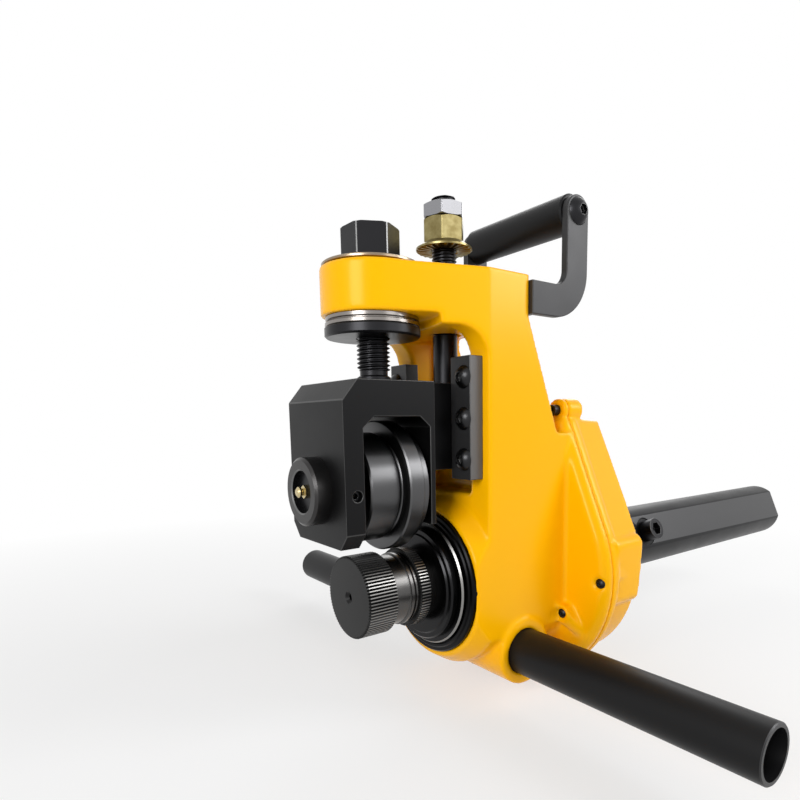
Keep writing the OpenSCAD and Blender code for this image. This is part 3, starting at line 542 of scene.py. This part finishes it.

# Drive roll, stop flange and seal
# Hardened tool steel, turned and straight knurled, then black oxided. The knurl's crests are a light
# grey: partly wear from pipes, partly a painted highlight along each crest. The groove between its
# lands is polished. The stop flange's rim chamfer gets the same light grey as a painted highlight.
# The seal is blackened steel.

drive_line, roll_front, roll_rear, knurl_r = measure("drive_roll", "Y")
_, disc_front, disc_rear, disc_r = measure("stop_flange", "Y")
_, seal_front, seal_rear, seal_r = measure("bearing_retainer", "Y")
land_edge = (0.6, 0.7)
front_land_rear = 20.0
step_front = 31.2
snap_front, snap_rear = 33.0, 34.5
rear_land_front, rear_land_rear = 36.5, 44.5
groove_r = 22.0
step_r = 23.0
drill_r = 2.0
drive_shaft_r = 12.0
knurl_steps = 240
knurl_pitch_steps = 3
knurl_valley = 0.966
disc_step = disc_front + 1
disc_step_r = 37.0
rim_front = disc_front + 6
disc_bore_r = drive_shaft_r + 0.1
seal_step = seal_front + 1
lip_r = disc_r + 0.8
lip_top_r = 44.5
seal_bore_r = 21.2

knurl_steel = steel("knurled_tool_steel", "#252525", 0.9, 0.36)
# Light grey for the knurl's crests, partly wear and partly painted highlight, and for the stop
# flange's rim chamfer as a painted highlight.
crest_steel = steel("wear_and_highlight_crest_steel", "#8C8B89", 1.0, 0.3)
polished = steel("polished_groove_steel", "#585756", 1.0, 0.26)
disc_steel = steel("polished_black_steel", "#232324", 0.95, 0.24)
seal_steel = steel("blackened_seal_steel", "#101011", 0.9, 0.28)


def in_knurl_valley(x, y, z):
    """Tells if a point of the knurled lands is on one of the lines that are pressed in."""
    step = round(math.atan2(z, x) / (2 * math.pi) * knurl_steps)
    return math.hypot(x, z) > knurl_r - 0.9 and step % knurl_pitch_steps == 0


def reach(piece, face, line):
    """A face's least and greatest distance in mm from a line that runs front to back."""
    corners = [1000 * piece.data.vertices[i].co for i in face.vertices]
    far = [math.hypot(corner.x - line[0], corner.z - line[2]) for corner in corners]
    return min(far), max(far)


def on_knurl_crest(face):
    """Tells if a face of the roll lies wholly on the knurl's crests."""
    return reach(roll, face, drive_line)[0] > knurl_r - 0.1


def in_groove(face):
    """Tells if a face of the roll lies in the groove or on the step beside it."""
    least, greatest = reach(roll, face, drive_line)
    return least > groove_r - 0.5 and greatest < step_r + 0.1


def on_highlit_rim_chamfer(face):
    """Tells if a face of the stop flange is on the chamfer at the front of its rim."""
    return abs(1000 * face.center.y - rim_front - 0.5) < 0.4 and face.normal.y < -0.3


roll = lathe("drive_roll_knurled", "drive", "Y", drive_line, [
    (roll_front + 9, core_r), (roll_front + 9, drill_r), (roll_front + 1.6, drill_r),
    (roll_front, 2 * drill_r),
    *collar(roll_front, front_land_rear, knurl_r, (0.8, 0.8), land_edge),
    (front_land_rear, groove_r + 0.6), (front_land_rear + 0.6, groove_r),
    (step_front - 0.6, groove_r), (step_front - 0.2, groove_r + 0.5), (step_front, step_r),
    (snap_front, step_r), (snap_front + 0.15, groove_r), (snap_rear - 0.15, groove_r),
    (snap_rear, step_r), (rear_land_front, step_r),
    *collar(rear_land_front, rear_land_rear, knurl_r, land_edge, land_edge),
    (rear_land_rear, groove_r), (disc_front, groove_r), (disc_front, drive_shaft_r),
    (roll_rear - 0.1, drive_shaft_r), (roll_rear - 0.1, core_r),
], steps=knurl_steps)
pick(roll, in_knurl_valley)
bpy.ops.transform.resize(value=(knurl_valley, 1, knurl_valley), center_override=(0, 0, 0))
bpy.ops.object.mode_set(mode="OBJECT")
smooth(18)
coat(roll, knurl_steel, crest_steel, polished)
# The crests get the light grey: wear plus a painted highlight.
refinish(roll, 1, on_knurl_crest)
refinish(roll, 2, in_groove)
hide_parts("drive_roll")

disc = lathe("stop_flange_turned", "drive", "Y", drive_line, [
    (disc_front + 0.05, disc_bore_r), (disc_front + 0.05, 32.4), (disc_step, 33.4),
    *collar(disc_step, rim_front, disc_step_r, (1.0, 1.0), (0.6, 0.4)),
    *collar(rim_front, disc_rear, disc_r, (1.0, 1.0), (0.6, 0.6)),
    (disc_rear, disc_bore_r),
], steps=128, ring=True)
smooth()
coat(disc, disc_steel, crest_steel)
# The front rim chamfer gets the light grey as a painted highlight.
refinish(disc, 1, on_highlit_rim_chamfer)
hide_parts("stop_flange")
seal = lathe("bearing_retainer_turned", "frame", "Y", drive_line, [
    (seal_front, lip_r + 0.6), (seal_front, lip_top_r - 0.8), (seal_front + 0.8, lip_top_r),
    (seal_step, lip_top_r), (seal_step, seal_r - 0.9), (seal_step + 0.9, seal_r),
    (seal_rear - 0.1, seal_r), (seal_rear - 0.1, seal_bore_r), (disc_rear + 0.6, seal_bore_r),
    (disc_rear + 0.6, lip_r), (seal_front + 0.4, lip_r),
], steps=128, ring=True)
smooth()
coat(seal, seal_steel)
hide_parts("bearing_retainer")

# Groove roll, its axle and grease nipple
# The roll is hardened steel, ground on its land and ridge. The headed axle is turned, with a
# dished head that shelters a brass grease nipple.

roll_line, upper_front, upper_rear, ridge_r = measure("groove_roll", "Y")
bush_r = measure("roll_bush", "Y")[3]
_, head_front, axle_rear, axle_head_r = measure("roll_axle", "Y")
housing_front = measure("slide_housing", "Y")[1]
nipple_front = measure("grease_nipple", "Y")[1]
land_r = 32.5
land_rear = 17.6
relief_r = 29.9
ridge_front, ridge_rear = 20.5, 30.5
rear_land_r = 36.0
axle_r = 12.0
dish_floor = head_front + 4
dish_edge_r = axle_r + 0.9
nipple_neck_r = 2.1
nipple_ball_r = 3.1
nipple_hexagon_r = 3.9

ground, tree, shader, place = new_finish("ground_black_steel", "#545455", 1.0, 0.28)
stretch = add(tree, "ShaderNodeMapping", {"Scale": (14.0, 0.6, 14.0)}, {"Vector": place})
brushed = add(
    tree, "ShaderNodeTexNoise", {"Scale": 60.0, "Detail": 3.0}, {"Vector": stretch.outputs["Vector"]}
)
dull = add(
    tree, "ShaderNodeMapRange", {"To Min": 0.26, "To Max": 0.33}, {"Value": brushed.outputs["Fac"]}
)
tree.links.new(dull.outputs["Result"], shader.inputs["Roughness"])
axle_steel = steel("turned_axle_steel", "#3B3A3A", 0.95, 0.32)
brass = steel("turned_brass", "#C6B68A", 1.0, 0.25)


def in_shaded_dish(face):
    """Tells if a face of the axle is inside its dished head."""
    far = reach(axle, face, roll_line)[1]
    return 1000 * face.center.y < housing_front - 0.5 and far < axle_r + 0.2


def on_highlit_dish_edge(face):
    """Tells if a face of the axle is on the chamfer round its dish."""
    far = reach(axle, face, roll_line)[1]
    return 1000 * face.center.y < head_front + 0.8 and far < dish_edge_r + 0.3


upper = lathe("groove_roll_ground", "upper_roll", "Y", roll_line, [
    (upper_front, bush_r + hair),
    *collar(upper_front, land_rear, land_r, (1.0, 1.1), (0.6, 0.6)),
    (land_rear, relief_r + 0.6), (land_rear + 0.8, relief_r), (ridge_front - 1.1, relief_r),
    (ridge_front - 0.7, relief_r + 0.6), (ridge_front, relief_r + 1.3),
    *collar(ridge_front, ridge_rear, ridge_r, (0.8, 0.9), (0.8, 0.8)),
    (ridge_rear, rear_land_r + 0.4), (ridge_rear + 0.4, rear_land_r),
    (upper_rear - 1.6, rear_land_r), (upper_rear - 0.5, rear_land_r - 1.1),
    (upper_rear - 0.5, bush_r + hair),
], steps=160, ring=True)
smooth()
coat(upper, ground)
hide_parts("groove_roll")

axle = lathe("roll_axle_turned", "slide", "Y", roll_line, [
    (dish_floor, core_r), (dish_floor, axle_r), (head_front + 0.6, axle_r + 0.1),
    (head_front, dish_edge_r), (head_front, axle_head_r - 1.6), (head_front + 1.4, axle_head_r),
    (housing_front - hair, axle_head_r), (housing_front - hair, axle_r),
    (axle_rear, axle_r), (axle_rear, core_r),
])
smooth(20)
# The dish's inside gets the darker black oxide as painted shade in the hollow, and the chamfer round
# it bright steel as a painted highlight.
coat(axle, axle_steel, black_oxide, wear_and_highlight)
refinish(axle, 1, in_shaded_dish)
# The chamfer round the dish gets bright steel as a painted highlight.
refinish(axle, 2, on_highlit_dish_edge)
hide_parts("roll_axle")

nipple = lathe("grease_nipple_tip", "slide", "Y", roll_line, [
    (dish_floor, nipple_neck_r), (nipple_front + 2.9, nipple_neck_r),
    (nipple_front + 2.1, nipple_ball_r), (nipple_front + 1.1, nipple_ball_r),
    (nipple_front + 0.1, nipple_ball_r - 1.2), (nipple_front, core_r),
], steps=32)
smooth()
base = lathe("grease_nipple_hexagon", "slide", "Y", roll_line, [
    (dish_floor, nipple_hexagon_r), (dish_floor - 2.3, nipple_hexagon_r),
], steps=6)
coat(nipple, brass)
coat(base, brass)
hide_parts("grease_nipple")

# Sliding housing, guide plates and small screws
# Milled from steel and black oxided: flat faces with a fine milled grain, chamfers, and edges just
# broken with a file. Their thin grey lines are a lighter grey on the bevels, partly bare filed steel
# and partly a painted highlight. All the small screws are black oxided too.

milled = steel("milled_black_steel", "#131314", 0.8, 0.45, grain=(40.0, 0.4, 0.5, 0.06))
# Lighter grey for the broken edges: partly bare filed steel, partly painted highlight lines.
filed_and_highlight = steel("filed_and_highlight_edge_steel", "#4C4C4C", 0.95, 0.38)
screw_black = steel("blackened_screw_steel", "#303031", 0.95, 0.3)
plate_steel = steel("ground_plate_steel", "#39393A", 0.6, 0.45)
# A lighter grey painted on the right guide plate's outer side, as the lamp's sheen on it.
painted_sheen_side_steel = steel("painted_sheen_side_steel", "#5C5C5D", 0.4, 0.5, grain=(40.0, 0.44, 0.56, 0.04))


def flatten():
    """Joins the active piece's loose triangles back into whole flat faces."""
    flat_within = 0.6
    edit_all()
    bpy.ops.mesh.dissolve_limited(angle_limit=math.radians(flat_within))
    bpy.ops.object.mode_set(mode="OBJECT")


def break_edges(width, slot=-1):
    """Takes the sharpness off the active piece's edges, and keeps its flat faces flat."""
    sharp = 35
    modify(
        "BEVEL", width=width / 1000, segments=2, limit_method="ANGLE", material=slot,
        angle_limit=math.radians(sharp), use_clamp_overlap=False,
    )
    smooth(sharp)
    modify("WEIGHTED_NORMAL", keep_sharp=True, weight=80)


finished = {}
for node, width, body, finish in (
    ("slide_housing", 0.45, "slide", milled),
    ("guide_plate_left", 0.4, "frame", plate_steel),
    ("guide_plate_right", 0.4, "frame", plate_steel),
    ("guide_screws", 0.25, "frame", screw_black),
    ("cover_screws", 0.15, "frame", black_oxide),
    ("tube_set_screw", 0.15, "frame", black_oxide),
    ("bracket_screws", 0.2, "frame", black_oxide),
    ("handle_bolts", 0.3, "frame", black_oxide),
    ("bar_screw", 0.4, "drive", black_oxide),
    ("axle_set_screw", 0.15, "slide", black_oxide),
):
    piece = twin(node, node + "_finished", body)
    flatten()
    coat(piece, finish, filed_and_highlight)
    # The bevel's new faces take slot 1, the lighter edge grey, painted as highlight lines.
    break_edges(width, slot=1)
    finished[node] = piece

straight_on = 0.99
flank_area = 500
plate = finished["guide_plate_right"]
plate.data.materials.append(painted_sheen_side_steel)
# The right plate's large outward side faces are painted lighter, as a sheen.
refinish(plate, 2, lambda face: face.normal.x > straight_on and 1e6 * face.area > flank_area)
screws = finished["guide_screws"]
screws.data.materials.append(wear_and_highlight)
# Faces turned straight to the front, the socket floors, get bright steel as a painted glint.
refinish(screws, 2, lambda face: face.normal.y < -straight_on)

# Drive bar
# A round bar of medium carbon steel with three flats milled for the chuck's jaws; its skin is
# dull grey black and its flats are lighter from the cutter.

bar_steel = steel("dull_bar_steel", "#222223", 0.95, 0.4, grain=(50.0, 0.34, 0.48, 0.04))
flat_steel = steel("milled_flat_steel", "#4B4B4C", 0.95, 0.36, grain=(30.0, 0.3, 0.42, 0.03))
flat_area = 3000
bar = twin("drive_bar", "drive_bar_finished", "drive")
flatten()
coat(bar, bar_steel, flat_steel)
refinish(bar, 1, lambda face: 1e6 * face.area > flat_area and abs(face.normal.y) < 0.1)
break_edges(0.5)

# Support tube and carry handle
# The tube and the grip are drawn steel tube with black paint, and the grip's brackets are flat
# bar bent round and blackened to a dull grey.

tube_line, tube_left, tube_right, tube_r = measure("support_tube", "X")
grip_line, grip_left, grip_right, grip_r = measure("handle_grip", "X")
tube_bore_r = 12.5
tube_edge = (0.6, 0.6)
grip_bore_r = 4.1
grip_edge = (1, 1)

black_paint = new_finish("satin_black_paint", "#121213", 0.0, 0.4, Specular_IOR_Level=0.18)[0]
bare_end = steel("sawn_tube_steel", "#3A3A3B", 0.9, 0.4)
dull_grey = steel("dull_grey_steel", "#363637", 0.7, 0.45, grain=(40.0, 0.4, 0.52, 0.05))

tube = lathe("support_tube_drawn", "tube", "X", tube_line, [
    (tube_left, tube_bore_r),
    *collar(tube_left, tube_right, tube_r, tube_edge, tube_edge),
    (tube_right, tube_bore_r),
], ring=True)
smooth()
coat(tube, black_paint, bare_end)
refinish(tube, 1, lambda face: abs(face.normal.x) > 0.6)
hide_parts("support_tube")
grip = lathe("handle_grip_tube", "frame", "X", grip_line, [
    (grip_left, grip_bore_r),
    *collar(grip_left, grip_right, grip_r, grip_edge, grip_edge),
    (grip_right, grip_bore_r),
], ring=True)
smooth()
coat(grip, black_paint)
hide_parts("handle_grip")
for side in ("left", "right"):
    bracket = twin(f"handle_bracket_{side}", f"handle_bracket_{side}_bent", "frame")
    flatten()
    coat(bracket, dull_grey)
    break_edges(0.6)

# Pieces inside
# Bronze bushes, the geared shaft and its key are only seen through the ends of the case.


def dress(finish, *names):
    """Gives CAD nodes a finish."""
    for name in names:
        for slot in nodes[name].material_slots:
            slot.material = finish


bronze = steel("bearing_bronze", "#B08D57", 1.0, 0.3)
dress(bronze, "front_bush", "rear_bush", "pinion_front_bush", "pinion_rear_bush", "roll_bush")
dress(bright, "gear_key", "screw_pin")
dress(bar_steel, "drive_shaft", "drive_gear", "pinion", "ratchet_socket")

# Stage
# A plain pale floor that fades into a white surround, four soft lamps and the camera at the
# photograph's viewing angle. The white is only what the camera and shiny surfaces see.


def seen(tree):
    """1 for rays from the camera, from gloss and through glass, and 0 for all other light."""
    rays = add(tree, "ShaderNodeLightPath")
    shine = add(
        tree, "ShaderNodeMath", {"operation": "MAXIMUM"},
        {0: rays.outputs["Is Camera Ray"], 1: rays.outputs["Is Glossy Ray"]},
    )
    return add(
        tree, "ShaderNodeMath", {"operation": "MAXIMUM"},
        {0: shine.outputs[0], 1: rays.outputs["Is Transmission Ray"]},
    ).outputs[0]


floor_z = cad_box[0][2]
fade_from, fade_to = 0.2, 0.9
white_near, white_far = 0.6, 1.0
bpy.ops.mesh.primitive_plane_add(size=12, location=(0, 0, floor_z))
floor = bpy.context.object
floor.name = "studio_floor"
paper, tree, shader, place = new_finish("pale_paper", "#F4F4F4", 0.0, 0.9)
distance = add(tree, "ShaderNodeVectorMath", {"operation": "LENGTH"}, {0: place})
fade = add(
    tree, "ShaderNodeMapRange",
    {"From Min": fade_from, "From Max": fade_to, "To Min": white_near, "To Max": white_far},
    {"Value": distance.outputs["Value"]},
)
share = add(
    tree, "ShaderNodeMath", {"operation": "MULTIPLY"}, {0: fade.outputs["Result"], 1: seen(tree)}
)
white = add(tree, "ShaderNodeEmission", {"Color": (1, 1, 1, 1), "Strength": 1.0})
mixed = add(
    tree, "ShaderNodeMixShader", None,
    {0: share.outputs[0], 1: shader.outputs["BSDF"], 2: white.outputs["Emission"]},
)
tree.links.new(mixed.outputs["Shader"], tree.nodes["Material Output"].inputs["Surface"])
floor.data.materials.append(paper)

diffuse_light, seen_light = 0.25, 1.0
world = bpy.data.worlds.new("soft_studio")
bpy.context.scene.world = world
world.use_nodes = True
sky = world.node_tree
lit = sky.nodes["Background"]
lit.inputs["Color"].default_value = (1, 1, 1, 1)
strength = add(
    sky, "ShaderNodeMapRange", {"To Min": diffuse_light, "To Max": seen_light}, {"Value": seen(sky)}
)
sky.links.new(strength.outputs["Result"], lit.inputs["Strength"])

aim = Vector((0, 0.08, 0.08))
for name, spot, watts, size in (
    ("right_rear_lamp", (0.83, 0.91, 0.63), 7.0, 0.5),
    ("front_lamp", (0.54, -1.12, 0.56), 11.4, 0.6),
    ("left_rear_lamp", (-1.0, 1.2, 1.0), 8, 1.2),
    ("right_strip_lamp", (1.15, 0.32, 0.56), 1.7, 0.5),
):
    bpy.ops.object.light_add(type="AREA", location=spot)
    lamp = bpy.context.object
    lamp.name = name
    lamp.data.size = size
    lamp.data.energy = watts
    lamp.rotation_euler = (aim - Vector(spot)).to_track_quat("-Z", "Y").to_euler()

eye = Vector((0.3053, -0.1646, 0.1057))
to_the_right = (0.6124, 0.7904, -0.0127)
to_the_top = (-0.0986, 0.0924, 0.9908)
to_the_viewer = (0.7844, -0.6055, 0.1345)
bpy.ops.object.camera_add()
camera = bpy.context.object
camera.name = "photo_camera"
view = Matrix((to_the_right, to_the_top, to_the_viewer)).transposed().to_4x4()
view.translation = eye
camera.matrix_world = view
camera.data.lens = 26.17
camera.data.sensor_width = 36
camera.data.shift_x = -0.05
camera.data.shift_y = 0.125
camera.data.clip_start = 0.01
bpy.context.scene.camera = camera
bpy.context.scene.view_settings.view_transform = "Standard"
